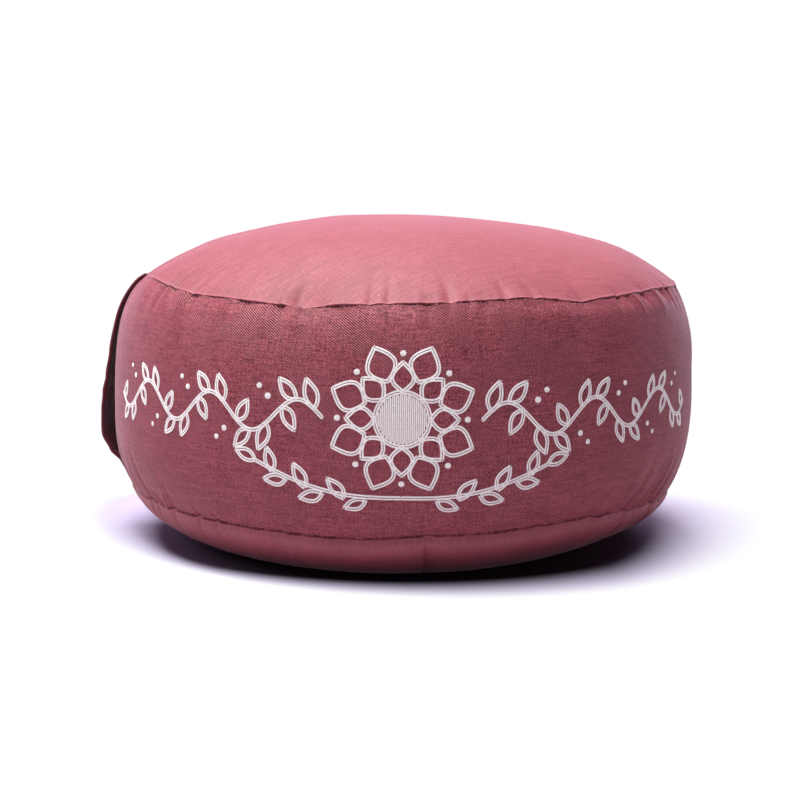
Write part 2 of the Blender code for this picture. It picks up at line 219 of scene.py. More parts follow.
# How hard the stitches pull: a mean, a swell, and waves that slower waves swing
PULL_MEAN = 0.72
PULL_LIMITS = (0.15, 1.35)
Wave = namedtuple("Wave", "strength turns swing slow_turns")
PULL_SWELL = Wave(0.42, 31, 0.7, 13)
PULL_WAVES = [
    Wave(0.30, 97, 2, 5),
    Wave(0.22, 211, 3, 7),
    Wave(0.34, 387, 2, 9),
]
SLACK_AZIMUTH = -76.0  # beside the strap the seams lie almost flat
SLACK_SPREAD = 16.0
SLACK_SHARE = 0.7


def turned(azimuth, other):
    """The signed angle from other to azimuth, from -180 to 180 degrees."""
    return (azimuth - other + 180.0) % 360.0 - 180.0


def fading(distance, reach):
    """A share that is 1 at no distance and fades away beyond the reach."""
    return np.exp(-(distance / reach) ** 2)


def eased_rows(knots, values, at):
    """Values at their knots, eased between the knots either side."""
    knots = np.array(knots, float)
    values = np.array(values, float)
    row = np.clip(np.searchsorted(knots, at, side="right") - 1, 0, len(knots) - 2)
    share = np.clip((at - knots[row]) / (knots[row + 1] - knots[row]), 0.0, 1.0)
    return values[row] + (values[row + 1] - values[row]) * share * share * (3.0 - 2.0 * share)


def sway_at(rows, azimuth, column):
    """One column of a seam's sway at each azimuth."""
    knots = [row.azimuth for row in rows] + [rows[0].azimuth + 360.0]
    values = [getattr(row, column) for row in rows + rows[:1]]
    return MM * eased_rows(knots, values, (azimuth - knots[0]) % 360.0 + knots[0])


def gathers(seed):
    """Small folds all the way round a seam."""
    chance = random.Random(seed)
    found = []
    azimuth = -180.0
    while azimuth < 180.0:
        depth = chance.uniform(*GATHER_DEPTH)
        if chance.random() < RIDGE_CHANCE:
            depth = -RIDGE_SHARE * depth
        reach = chance.uniform(*GATHER_REACH)
        other = chance.uniform(*GATHER_REACH)
        lean = chance.uniform(*GATHER_LEAN)
        width = chance.uniform(*GATHER_WIDTH)
        found.append(Fold(azimuth, width, depth, reach, depth, other, lean))
        azimuth += chance.uniform(*GATHER_TURN)
    return found


Seam = namedtuple("Seam", "radius height rise sway folds")
top_folds = TOP_FOLDS + gathers(GATHER_SEED)
bottom_folds = BOTTOM_FOLDS + gathers(GATHER_SEED + 1)
top_seam = Seam(TOP_SEAM_RADIUS, TOP_SEAM_HEIGHT, -1.0, TOP_SEAM_SWAY, top_folds)
bottom_seam = Seam(BOTTOM_SEAM_RADIUS, BOTTOM_SEAM_HEIGHT, 1.0, BOTTOM_SEAM_SWAY, bottom_folds)


def seam_height(seam, azimuth):
    """The height at which a seam runs."""
    return seam.height + sway_at(seam.sway, azimuth, "lift")


def seam_rim(seam, azimuth):
    """The radius at which a seam runs, where it is also pulled to the middle."""
    return seam.radius - sway_at(seam.sway, azimuth, "pull")


def fold_depth(folds, azimuth, radius, from_seam, side):
    """How deep the folds draw the cloth in at each point, on a seam's panel or its band."""
    depth = np.zeros_like(azimuth)
    for fold in folds:
        lean = fold.lean if side == "band" else 0.0
        across = np.radians(turned(azimuth, fold.azimuth)) * radius - lean * from_seam
        shape = fading(across, fold.half_width * MM)
        shape = shape * fading(from_seam, getattr(fold, side + "_reach") * MM)
        depth += getattr(fold, side + "_depth") * MM * shape
    return depth


def seam_pull(azimuth):
    """How hard each stitch of a seam pulls, from slack to tight, unevenly all round."""
    bearing = np.radians(azimuth)
    pull = PULL_SWELL.strength * np.sin(bearing * PULL_SWELL.turns)
    pull = PULL_MEAN + pull * np.sin(bearing * PULL_SWELL.slow_turns + PULL_SWELL.swing)
    for wave in PULL_WAVES:
        swung = wave.swing * np.sin(bearing * wave.slow_turns)
        pull += wave.strength * np.sin(bearing * wave.turns + swung)
    slack = 1.0 - SLACK_SHARE * fading(turned(azimuth, SLACK_AZIMUTH), SLACK_SPREAD)
    return slack * np.clip(pull, *PULL_LIMITS)


def seam_depth(from_seam, azimuth, side):
    """The seam's own cross-section: a roll of the cloth, a proud lip and a slit."""
    draw, width, lip = PANEL_DRAW, PANEL_SLIT_WIDTH, SEAM_LIP
    if side == "band":
        draw, width, lip = BAND_DRAW, BAND_SLIT_WIDTH, 0.0
    depth = draw * fading(from_seam, SEAM_DRAW_REACH)
    depth += (SEAM_SLIT * seam_pull(azimuth) + BAND_DRAW - draw) * fading(from_seam, width)
    return depth - lip * fading(from_seam - SEAM_LIP_PLACE, SEAM_LIP_WIDTH)


def seam_painted_light(from_seam, azimuth, side):
    """Painted light at the seam: a painted highlight on its lip, and painted shade in its slit."""
    shade = SLIT_SHADE_GROWTH * seam_pull(azimuth) - SLIT_SHADE_SLACK
    slit = fading(from_seam, SLIT_SHADE_WIDTH) * np.clip(shade, 0.0, SLIT_SHADE_MOST)
    if side == "band":
        return -slit
    lip = fading(from_seam - SEAM_LIP_PLACE, SEAM_LIP_WIDTH)
    return lip * (LIP_HIGHLIGHT[0] + LIP_HIGHLIGHT[1] * seam_pull(azimuth + LIP_HIGHLIGHT_TURN)) - slit


def dent_depth(azimuth, height):
    """How deep the band's dents go."""
    depth = np.zeros_like(azimuth)
    for dent in DENTS:
        across = np.radians(turned(azimuth, dent.azimuth)) * GIRTH_RADIUS
        shape = fading(height - dent.height * MM, dent.half_height * MM)
        depth += dent.depth * MM * shape * fading(across, dent.half_width * MM)
    return depth


def panel_painted_light(kind, azimuth, share):
    """Painted light and shade on the round panels: the top paler to the right, the bottom paler on its
    bulge and darker inwards.
    """
    if kind == CROWN:
        across = TOP_SEAM_RADIUS * share * np.sin(np.radians(azimuth)) / MM
        return np.interp(across, *zip(*CROWN_PAINTED_LIGHT))
    inward = (1.0 - share) * (BOTTOM_SEAM_RADIUS - CONTACT_RADIUS)
    aside = 1.0 - np.cos(np.radians(azimuth))
    inward = inward + BASE_SIDE * aside * np.clip(inward / BASE_SIDE_START, 0.0, 1.0)
    paler = BASE_PAINTED_LIGHT * fading(inward - BASE_PAINTED_LIGHT_PLACE, BASE_PAINTED_LIGHT_PLACE)
    return paler - np.interp(inward, BASE_PAINTED_SHADE_PLACE, (0.0, BASE_PAINTED_SHADE))


def girth_height(azimuth):
    """The height of the band's widest line."""
    return GIRTH_HEIGHT + GIRTH_TILT * np.sin(np.radians(azimuth))


def band_radius(azimuth, height):
    """The radius of the swollen band, without its folds."""
    widest = girth_height(azimuth)
    girth = GIRTH_RADIUS + GIRTH_SWELL * np.clip(np.sin(np.radians(azimuth)), 0.0, 1.0) ** 2
    radius = girth
    for seam in (top_seam, bottom_seam):
        share = np.clip((height - widest) / (seam_height(seam, azimuth) - widest), 0.0, 1.0)
        pull = seam.radius - seam_rim(seam, azimuth)
        radius = radius - (girth - seam.radius) * share**BAND_POWER - pull * share**PULL_POWER
    return radius


def drawn(radius, height, depth, from_seam, far_slope, rise):
    """Points drawn in by a depth: slantwise at the seam, and at far_slope away from it."""
    slope = np.radians(far_slope + (45.0 - far_slope) * fading(from_seam, SEAM_ROLL))
    return radius - depth * np.cos(slope), height + rise * depth * np.sin(slope)


def crown_place(seam, azimuth, share):
    """Radius and height on the top panel."""
    level = seam.height + sway_at(seam.sway, azimuth, "lift") * share**LIFT_POWER
    rim = seam_rim(seam, azimuth)
    radius = rim * share
    across = radius * np.sin(np.radians(azimuth)) / MM
    height = level + (CROWN_HEIGHT - level) * (1.0 - share**CROWN_POWER)
    height += MM * eased_rows(*zip(*CROWN_LEAN), across) * (1.0 - share**PULL_POWER)
    from_seam = (1.0 - share) * rim
    depth = fold_depth(seam.folds, azimuth, radius, from_seam, "panel")
    depth += seam_depth(from_seam, azimuth, "panel")
    return drawn(radius, height, depth, from_seam, 90.0, seam.rise)


def band_place(seam, azimuth, share):
    """Radius and height on the band, from its widest line to a seam."""
    widest = girth_height(azimuth)
    edge = seam_height(seam, azimuth)
    height = widest + (edge - widest) * share
    radius = band_radius(azimuth, height)
    from_seam = np.abs(edge - height)
    depth = fold_depth(seam.folds, azimuth, radius, from_seam, "band")
    depth += seam_depth(from_seam, azimuth, "band") + dent_depth(azimuth, height)
    return drawn(radius, height, depth, from_seam, 0.0, seam.rise)


def base_place(seam, azimuth, share):
    """Radius and height on the bottom panels, between their seam and the floor."""
    bearing = np.radians(azimuth)
    radius = CONTACT_RADIUS + (seam_rim(seam, azimuth) - CONTACT_RADIUS) * share
    height = seam_height(seam, azimuth) * share ** (BASE_POWER - BASE_LEAN * np.sin(bearing))
    from_seam = (1.0 - share) * (seam.radius - CONTACT_RADIUS)
    even, forward, rightward = BASE_ROLL_SHARES
    front = np.clip(np.cos(bearing), 0.0, 1.0)
    roll = BASE_ROLL * (even + forward * front + rightward * np.sin(bearing))
    away = from_seam / BASE_ROLL_PLACE
    radius = radius + roll * away * np.exp(1.0 - away) * np.clip(share / BASE_ROLL_START, 0.0, 1.0)
    depth = fold_depth(seam.folds, azimuth, radius, from_seam, "panel")
    depth = share * (depth + seam_depth(from_seam, azimuth, "panel"))
    return drawn(radius, height, depth, from_seam, 90.0, seam.rise)


def contact_place(seam, azimuth, share):
    """Radius and height where the bottom lies on the floor."""
    return CONTACT_RADIUS * share, np.zeros_like(share)


Stretch = namedtuple("Stretch", "place seam side length")
STRETCHES = [
    Stretch(crown_place, top_seam, "panel", TOP_SEAM_RADIUS),
    Stretch(band_place, top_seam, "band", TOP_SEAM_HEIGHT - GIRTH_HEIGHT),
    Stretch(band_place, bottom_seam, "band", GIRTH_HEIGHT - BOTTOM_SEAM_HEIGHT),
    Stretch(base_place, bottom_seam, "panel", BOTTOM_SEAM_RADIUS - CONTACT_RADIUS),
    Stretch(contact_place, bottom_seam, "panel", CONTACT_RADIUS),
]
CROWN, UPPER, LOWER, BASE, CONTACT = range(len(STRETCHES))
Ring = namedtuple("Ring", "stretch share")


def shares_to_seam(length):
    """Even shares of a stretch from its middle, and closer ones next to its seam."""
    plain = length - NEAR_SEAM[-1] * MM
    count = ceil(plain / RING_PITCH)
    even = [plain * i / count / length for i in range(count)]
    return even + [1.0 - near * MM / length for near in reversed(NEAR_SEAM)]


def cover_rings():
    """The cover's rings from the crown's middle to the bottom's middle."""
    crown, upper, lower, base, _ = [shares_to_seam(stretch.length) for stretch in STRETCHES]
    rings = [Ring(CROWN, share) for share in crown]
    rings += [Ring(UPPER, share) for share in reversed(upper + [1.0])]
    rings += [Ring(LOWER, share) for share in lower[1:] + [1.0]]
    rings += [Ring(BASE, share) for share in reversed(base)]
    return rings + [Ring(CONTACT, share) for share in CONTACT_SHARES]


def stood(name, data):
    """A new object, put into the scene."""
    made = bpy.data.objects.new(name, data)
    bpy.context.scene.collection.objects.link(made)
    return made


def as_mesh(form, name):
    """A finished form as a new mesh."""
    mesh = bpy.data.meshes.new(name)
    form.to_mesh(mesh)
    form.free()
    return mesh


def turned_cover(rings):
    """A closed form with one ring for each row, turned from a plain line of points."""
    form = bmesh.new()
    last = len(rings) - 1
    corners = [form.verts.new((float(0 < row < last), 0.0, -row)) for row in range(len(rings))]
    for pair in zip(corners, corners[1:]):
        form.edges.new(pair)
    line = as_mesh(form, "line")
    guide = stood("line", line)
    screw = guide.modifiers.new("turn", "SCREW")
    screw.steps = COVER_STEPS
    screw.render_steps = COVER_STEPS
    screw.use_merge_vertices = True
    screw.merge_threshold = 0.0001
    bpy.context.view_layer.update()
    evaluated = guide.evaluated_get(bpy.context.evaluated_depsgraph_get())
    mesh = bpy.data.meshes.new_from_object(evaluated)
    mesh.name = "cover"
    bpy.data.objects.remove(guide)
    bpy.data.meshes.remove(line)
    return mesh


def face_outwards(mesh):
    """Turns a closed mesh's faces outwards."""
    form = bmesh.new()
    form.from_mesh(mesh)
    bmesh.ops.recalc_face_normals(form, faces=form.faces[:])
    form.to_mesh(mesh)
    form.free()


def mesh_points(mesh):
    """A mesh's points as rows of x, y, z."""
    points = np.empty(len(mesh.vertices) * 3, np.float32)
    mesh.vertices.foreach_get("co", points)
    return points.reshape(-1, 3).astype(float)


def move_points(mesh, points):
    """Puts a mesh's points at these rows of x, y, z."""
    mesh.vertices.foreach_set("co", points.astype(np.float32).ravel())
    mesh.update()


def around(azimuth, radius, height):
    """Rows of x, y, z from places round the cushion."""
    bearing = np.radians(azimuth)
    return np.stack([radius * np.sin(bearing), -radius * np.cos(bearing), height], 1)


def shape_cover(mesh, rings):
    """Moves the turned rings to the filled cushion's shape; gives each point's row and azimuth."""
    points = mesh_points(mesh)
    rows = np.rint(-points[:, 2]).astype(int)
    bearing = np.arctan2(points[:, 0], -points[:, 1])
    azimuth = np.degrees(bearing - FRONT_SHARE * np.sin(bearing))
    kinds = np.array([ring.stretch for ring in rings])[rows]
    share = np.array([ring.share for ring in rings])[rows]
    radius, height, painted_shading = np.zeros((3, len(points)))
    for kind, stretch in enumerate(STRETCHES):
        mine = kinds == kind
        radius[mine], height[mine] = stretch.place(stretch.seam, azimuth[mine], share[mine])
        from_seam = (1.0 - share[mine]) * stretch.length
        painted_shading[mine] = seam_painted_light(from_seam, azimuth[mine], stretch.side)
        if kind in (CROWN, BASE):
            painted_shading[mine] += panel_painted_light(kind, azimuth[mine], share[mine])
    band_ribs = np.interp(azimuth, RIB_AZIMUTHS, RIB_SHARES)
    band_ribs = band_ribs * np.interp(height, RIB_HEIGHTS, (RIB_LOW_SHARE, 1.0))
    panel_ribs = np.where(kinds == CROWN, PANEL_RIBS, BASE_RIBS) * share * share
    ribs = np.where((kinds == UPPER) | (kinds == LOWER), band_ribs, panel_ribs)
    # Painted light and shade: highlights on the seam lips, the top's right side and the bottom's
    # bulge; shade in the slits and under the bottom
    for name, values in (("painted_light_and_shade", painted_shading), ("ribbed", ribs)):
        mesh.attributes.new(name, "FLOAT", "POINT").data.foreach_set("value", values)
    move_points(mesh, around(azimuth, radius, height))
    return rows, azimuth


# The straight seam of the two bottom half panels runs from front to back: a wide roll of
# the cloth, the slit in it and the lip of a turned edge, each by its place across
MIDDLE_SEAM_X = 0.0125
Channel = namedtuple("Channel", "across width lift")
MIDDLE_SEAM = [
    Channel(0.0022, 0.0042, 0.0008),
    Channel(0.0, 0.0009, 0.0011),
    Channel(-0.0018, 0.0011, -0.0006),
]
MIDDLE_SEAM_END = 0.012  # it fades out over this share of the radius
MIDDLE_SEAM_LOW = 0.018  # and is weaker below this height, down to a least share
MIDDLE_SEAM_LEAST = 0.25


def sew_middle_seam(mesh, rows, seam_row):
    """Sinks the straight seam into the bottom panels."""
    points = mesh_points(mesh)
    outward = np.hypot(points[:, 0], points[:, 1]) / BOTTOM_SEAM_RADIUS
    fade = np.clip((1.0 - outward) / MIDDLE_SEAM_END, 0.0, 1.0) * (rows > seam_row)
    fade = fade * np.clip(points[:, 2] / MIDDLE_SEAM_LOW, MIDDLE_SEAM_LEAST, 1.0)
    for channel in MIDDLE_SEAM:
        across = points[:, 0] - MIDDLE_SEAM_X - channel.across
        points[:, 2] += fade * channel.lift * fading(across, channel.width)
    points[:, 2] = np.maximum(points[:, 2], 0.0)
    move_points(mesh, points)


PANEL_GRAIN = 33.0  # degrees that the round panels' threads lie turned


def map_threads(mesh, rows, azimuth, top_row, bottom_row):
    """A map in metres that runs with each panel's threads, for the weave."""
    corner_vertex = np.empty(len(mesh.loops), int)
    mesh.loops.foreach_get("vertex_index", corner_vertex)
    sizes = np.empty(len(mesh.polygons), int)
    mesh.polygons.foreach_get("loop_total", sizes)
    starts = np.concatenate([[0], np.cumsum(sizes)[:-1]])
    mean_row = np.repeat(np.add.reduceat(rows[corner_vertex], starts) / sizes, sizes)
    on_band = (mean_row > top_row) & (mean_row < bottom_row)
    first = np.repeat(azimuth[corner_vertex[starts]], sizes)
    unwrapped = first + turned(azimuth[corner_vertex], first)
    points = mesh_points(mesh)[corner_vertex]
    grain = radians(PANEL_GRAIN)
    turned_x = points[:, 0] * cos(grain) + points[:, 1] * sin(grain)
    turned_y = points[:, 1] * cos(grain) - points[:, 0] * sin(grain)
    u = np.where(on_band, np.radians(unwrapped) * GIRTH_RADIUS, turned_x)
    v = np.where(on_band, points[:, 2], turned_y)
    layer = mesh.uv_layers.new(name="threads")
    layer.uv.foreach_set("vector", np.stack([u, v], 1).astype(np.float32).ravel())


def wire(tree, socket, value):
    """Links a socket to another's value, or sets it."""
    if isinstance(value, bpy.types.NodeSocket):
        tree.links.new(value, socket)
    else:
        socket.default_value = value


def added(tree, kind, output=0, **settings):
    """A new node with these settings; sockets are given by name with spaces as _."""
    made = tree.nodes.new(kind)
    sockets = {socket.name.replace(" ", "_"): socket for socket in reversed(made.inputs)}
    for name, value in settings.items():
        if name in sockets:
            wire(tree, sockets[name], value)
        else:
            setattr(made, name, value)
    return made.outputs[output]


def joined(tree, kind, *values):
    """A new node whose inputs take these values in order."""
    made = tree.nodes.new(kind)
    for socket, value in zip(made.inputs, values):
        wire(tree, socket, value)
    return made


def worked(tree, operation, *values):
    """The result of a sum on these values."""
    made = joined(tree, "ShaderNodeMath", *values)
    made.operation = operation
    return made.outputs[0]


def summed(tree, start, *terms):
    """A start value and the products of these pairs, added up."""
    for value, share in terms:
        start = worked(tree, "MULTIPLY_ADD", value, share, start)
    return start


def between(tree, share, low, high):
    """A colour between two others; the share is held from 0 to 1."""
    mixed = tree.nodes.new("ShaderNodeMix")
    mixed.data_type = "RGBA"
    for socket, value in zip((0, 6, 7), (share, low, high)):
        wire(tree, mixed.inputs[socket], value)
    return mixed.outputs[2]


def new_finish(name, settings):
    """A new material, its node tree and its shader with these settings."""
    material = bpy.data.materials.new(name)
    material.use_nodes = True
    tree = material.node_tree
    shader = tree.nodes["Principled BSDF"]
    for socket, value in settings.items():
        shader.inputs[socket].default_value = value
    return material, tree, shader


TWILL_PITCH = 0.98  # millimetres between the weave's slanting ribs
TWILL_SLANT = radians(33.0)  # below the level, down to the right
THREAD_PITCH = 0.60
FLOAT_SLANT = 0.8  # the floats of thread cross the ribs, rising this much for each step along
RIB_RELIEF = 2.05
RIB_STRENGTH = 0.62  # the ribs' mean strength, and its limits
RIB_WEAKEST = 0.12
RIB_STRONGEST = 1.25
FLOAT_RELIEF = 0.40
RELIEF_TONE = 0.44
WEAVE_RELIEF = 0.00010
PLAIN_CRISPNESS = 0.25  # how crisp the threads are where no ribs show
PLAIN_MOTTLE = 0.40  # how mottled the cloth is there, growing this fast with the ribs
MOTTLE_GROWTH = 7.0
PAINTED_LIGHT_SHARE = 0.7
PAINTED_SHADE_SHARE = -0.8

# How uneven the cloth is: cells to a millimetre along and up, their detail and strength
Grain = namedtuple("Grain", "along up detail strength")
RIB_WANDER = Grain(0.22, 0.22, 1.0, 0.7)
RIB_FADING = Grain(0.038, 0.038, 2.0, 4.6)
SLUBS = Grain(0.90, 0.90, 2.0, 4.1)
WEFT = Grain(0.14, 1.10, 1.0, 1.0)
WARP = Grain(1.10, 0.13, 1.0, 0.80)
STREAKS = Grain(0.045, 0.34, 1.0, 0.30)
MOTTLES = Grain(0.055, 0.055, 2.0, 0.22)

TWILL_FINISH = {
    "Roughness": 0.60,
    "Specular IOR Level": 0.27,
    "Sheen Weight": 0.11,
    "Sheen Roughness": 0.30,
    "Sheen Tint": (1.0, 0.80, 0.95, 1.0),
}
TWILL_DARK = (0.066, 0.0085, 0.015, 1.0)
TWILL_MIDDLE = (0.226, 0.0470, 0.066, 1.0)
TWILL_LIGHT = (0.430, 0.112, 0.142, 1.0)
# Painted highlight and painted shade colours, mixed in by the cover's painted light and shade
TWILL_PAINTED_LIGHT = (0.400, 0.132, 0.158, 1.0)
TWILL_PAINTED_SHADE = (0.034, 0.004, 0.008, 1.0)


def uneven(tree, at, kind):
    """A value that wanders evenly either side of nothing."""
    scaled = added(tree, "ShaderNodeMapping", Vector=at, Scale=(kind.along, kind.up, 1.0))
    grain = added(tree, "ShaderNodeTexNoise", Vector=scaled, Scale=1.0, Detail=kind.detail)
    return worked(tree, "MULTIPLY", worked(tree, "SUBTRACT", grain, 0.5), kind.strength)


def waves(tree, along, pitch):
    """A plain wave that comes round once in each pitch."""
    return worked(tree, "SINE", worked(tree, "MULTIPLY", along, tau / pitch))


def twill(name, dark, middle, light):
    """Matt cotton twill: slanting ribs of short thread floats, slubs and faint mottling."""
    material, tree, shader = new_finish(name, TWILL_FINISH)
    at = added(tree, "ShaderNodeUVMap", uv_map="threads")
    at = added(tree, "ShaderNodeVectorMath", operation="SCALE", Vector=at, Scale=1000.0)
    along, up = joined(tree, "ShaderNodeSeparateXYZ", at).outputs[:2]
    ribbed = added(tree, "ShaderNodeAttribute", output=2, attribute_name="ribbed")
    painted_light_and_shade = added(tree, "ShaderNodeAttribute", output=2, attribute_name="painted_light_and_shade")
    slope = ((up, cos(TWILL_SLANT)), (along, sin(TWILL_SLANT)))
    rib = waves(tree, summed(tree, uneven(tree, at, RIB_WANDER), *slope), TWILL_PITCH)
    strength = worked(tree, "ADD", uneven(tree, at, RIB_FADING), RIB_STRENGTH)
    strength = worked(tree, "MINIMUM", worked(tree, "MAXIMUM", strength, RIB_WEAKEST), RIB_STRONGEST)
    rib = worked(tree, "MULTIPLY", rib, worked(tree, "MULTIPLY", strength, ribbed))
    cross = worked(tree, "SUBTRACT", worked(tree, "MULTIPLY", along, FLOAT_SLANT), up)
    floats = worked(tree, "MULTIPLY", waves(tree, cross, 2.0 * THREAD_PITCH), ribbed)
    crisp = worked(tree, "MULTIPLY_ADD", ribbed, 1.0 - PLAIN_CRISPNESS, PLAIN_CRISPNESS)
    slub = worked(tree, "MULTIPLY", uneven(tree, at, SLUBS), crisp)
    relief = summed(tree, slub, (rib, RIB_RELIEF), (floats, FLOAT_RELIEF))
    threads = worked(tree, "ADD", uneven(tree, at, WEFT), uneven(tree, at, WARP))
    mottle = worked(tree, "ADD", uneven(tree, at, STREAKS), uneven(tree, at, MOTTLES))
    even = worked(tree, "MULTIPLY_ADD", ribbed, MOTTLE_GROWTH, PLAIN_MOTTLE)
    even = worked(tree, "MINIMUM", even, 1.0)
    tone = summed(tree, 0.5, (relief, RELIEF_TONE), (threads, crisp), (mottle, even))
    ramp = joined(tree, "ShaderNodeValToRGB", tone)
    ramp.color_ramp.elements[0].color = dark
    ramp.color_ramp.elements[1].color = light
    ramp.color_ramp.elements.new(0.5).color = middle
    # Painted highlight where the painted light and shade is above nothing, painted shade where it is
    # below
    shade = between(tree, worked(tree, "MULTIPLY", painted_light_and_shade, PAINTED_LIGHT_SHARE), ramp.outputs[0], TWILL_PAINTED_LIGHT)
    shade = between(tree, worked(tree, "MULTIPLY", painted_light_and_shade, PAINTED_SHADE_SHARE), shade, TWILL_PAINTED_SHADE)
    bump = added(tree, "ShaderNodeBump", Height=relief, Strength=0.8, Distance=WEAVE_RELIEF)
    tree.links.new(shade, shader.inputs["Base Color"])
    tree.links.new(bump, shader.inputs["Normal"])
    return material


rings = cover_rings()
top_row = rings.index(Ring(UPPER, 1.0))
bottom_row = rings.index(Ring(LOWER, 1.0))
cover_mesh = turned_cover(rings)
ring_rows, ring_azimuths = shape_cover(cover_mesh, rings)
sew_middle_seam(cover_mesh, ring_rows, bottom_row)
face_outwards(cover_mesh)
map_threads(cover_mesh, ring_rows, ring_azimuths, top_row, bottom_row)
cover_mesh.shade_smooth()
cover_mesh.materials.append(twill("cover_twill", TWILL_DARK, TWILL_MIDDLE, TWILL_LIGHT))
cover = stood("cover", cover_mesh)
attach(cover, "root")
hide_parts("cushion")


# The carrying strap
# A strip of the same twill, folded double and topstitched along both edges. Its ends are
# sewn into the top and bottom seams on the left; it lies on the band above, and bows off
# it lower down, where the fingers go in.

strap_low, strap_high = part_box("carry_handle")
STRAP_AZIMUTH = -90.0
STRAP_WIDTH = 0.030
STRAP_THICKNESS = 0.0016
STRAP_ROUNDING = 0.0007
STRAP_GAP = 0.0010
STRAP_GAP_LEAST = 0.4  # this share of it at the lower end, growing this fast upwards
STRAP_GAP_GROWTH = 5.0
STRAP_TUCK = 0.0015  # each end goes this far into its seam, over this much of its length
STRAP_TUCK_LENGTH = 0.004
STRAP_DROP = 0.0006  # both ends are sewn in this much lower than the solid's
STRAP_DIP = 0.0022  # the back corner of its upper end is sewn in this much lower
STRAP_DIP_POWER = 8
STRAP_SAG = 0.0005  # its middle lies this much hollow where it stands off the band
STRAP_SAG_START = 0.004
STRAP_ROWS = 96
STRAP_COLUMNS = 24
STRAP_LEAN = 0.62  # where it bows out, its back edge stands off this much less
STRAP_TRAIL = 3.0  # degrees that its lower end is sewn in further back
STRAP_TRAIL_POWER = 6
STRAP_STITCH_INSET = 0.0028
STRAP_STITCH_WIDTH = 0.0007
STRAP_STITCH_GROOVE = 0.00025
StandOff = namedtuple("StandOff", "height distance")
STRAP_STAND_OFFS = [
    StandOff(33.5, 0), StandOff(43, 0.4), StandOff(50, 4.2), StandOff(59, 6.7),
    StandOff(72, 6.1), StandOff(83, 5.2), StandOff(93, 3.4), StandOff(106, 1.9),
    StandOff(125, 0.9), StandOff(149.5, 0),
]
# The same twill in darker colours: painted shade, for a strap that hangs in the band's shade
STRAP_SHADED_DARK = (0.046, 0.006, 0.011, 1.0)
STRAP_SHADED_MIDDLE = (0.120, 0.021, 0.032, 1.0)
STRAP_SHADED_LIGHT = (0.230, 0.060, 0.078, 1.0)


def strap_point(across, rise):
    """A point of the strap's inner face: across from -1 to 1, rise from 0 to 1."""
    backward = 0.5 - 0.5 * across
    length = strap_high.z - strap_low.z
    height = strap_low.z - STRAP_DROP + length * rise
    height -= STRAP_DIP * backward * rise**STRAP_DIP_POWER
    azimuth = STRAP_AZIMUTH + degrees(across * STRAP_WIDTH / 2.0 / GIRTH_RADIUS)
    azimuth -= STRAP_TRAIL * (1.0 - rise) ** STRAP_TRAIL_POWER
    stand_off = MM * eased_rows(*zip(*STRAP_STAND_OFFS), height / MM)
    radius = band_radius(azimuth, height)
    radius += STRAP_GAP * min(1.0, STRAP_GAP_LEAST + STRAP_GAP_GROWTH * rise)
    radius += stand_off * (1.0 - STRAP_LEAN * backward)
    end = min(rise, 1.0 - rise) * length
    radius -= STRAP_TUCK * max(0.0, 1.0 - end / STRAP_TUCK_LENGTH) ** 2
    inset = (1.0 - abs(across)) * STRAP_WIDTH / 2.0 - STRAP_STITCH_INSET
    radius -= STRAP_STITCH_GROOVE * fading(inset, STRAP_STITCH_WIDTH)
    radius -= STRAP_SAG * (1.0 - across * across) * min(1.0, stand_off / STRAP_SAG_START)
    bearing = radians(azimuth)
    return Vector((radius * sin(bearing), -radius * cos(bearing), height))


strap_form = bmesh.new()
bmesh.ops.create_grid(
    strap_form, x_segments=STRAP_COLUMNS, y_segments=STRAP_ROWS, size=1.0, calc_uvs=True
)
strap_map = strap_form.loops.layers.uv.verify()
for corner in strap_form.verts:
    corner.co = strap_point(corner.co.x, (corner.co.y + 1.0) / 2.0)
strap_middle = [strap_point(0.0, row / STRAP_ROWS) for row in range(STRAP_ROWS + 1)]
strap_length = sum((high - low).length for low, high in zip(strap_middle, strap_middle[1:]))
for face in strap_form.faces:
    for loop in face.loops:
        u, v = loop[strap_map].uv
        loop[strap_map].uv = (u * STRAP_WIDTH, v * strap_length)
strap_mesh = as_mesh(strap_form, "strap")
strap_mesh.uv_layers[0].name = "threads"
strap_mesh.shade_smooth()
strap_mesh.materials.append(twill("strap_twill", STRAP_SHADED_DARK, STRAP_SHADED_MIDDLE, STRAP_SHADED_LIGHT))
strap = stood("strap", strap_mesh)
doubled = strap.modifiers.new("doubled", "SOLIDIFY")
doubled.thickness = STRAP_THICKNESS
doubled.offset = 1.0
rounded = strap.modifiers.new("rounded", "BEVEL")
rounded.width = STRAP_ROUNDING
rounded.segments = 3
rounded.limit_method = "ANGLE"
rounded.angle_limit = radians(60.0)
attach(strap, "root")
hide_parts("carry_handle")


# The embroidery
# Silver-grey rayon thread, machine sewn on the front of the band before the cover was made
# up: narrow lines of slanting satin stitches, and a centre, buds and berries filled solid.
# A round rosette stands in the middle, with two leafy twigs below and a vine on either side.

# All measures of the embroidery are in millimetres
THREAD_WIDTH = 0.48
THREAD_RISE = 0.36
THREAD_LIFT = 0.22  # a stitch's middle stands off the cloth by this share of its rise
LINE_WIDTH = 2.3  # two rows of stitches, whose inner ends meet in a groove
LINE_ROW_PLACE = 0.27
STITCH_PITCH = 0.45
STITCH_SLANT = 38.0  # degrees between a stitch and its line
STITCH_LENGTH = 1.6
BERRY_PITCH = 0.36
ROSETTE_HEIGHT = 94
CENTRE_RADIUS = 12.2
CENTRE_RIM_RADIUS = 13.6
FILL_COLUMN = 0.98
FILL_PITCH = 0.64
FILL_STITCH = 1.7
FILL_SLANT = 32.0
Petals = namedtuple("Petals", "count turn base length width")
PETAL_ROWS = [
    Petals(8, 0.0, 13.9, 14, 10.8),
    Petals(8, 22.5, 20, 17.5, 14.2),
]
Ringed = namedtuple("Ringed", "count turn ring radius")
ROSETTE_BERRIES = Ringed(8, 0.0, 32.2, 1.5)

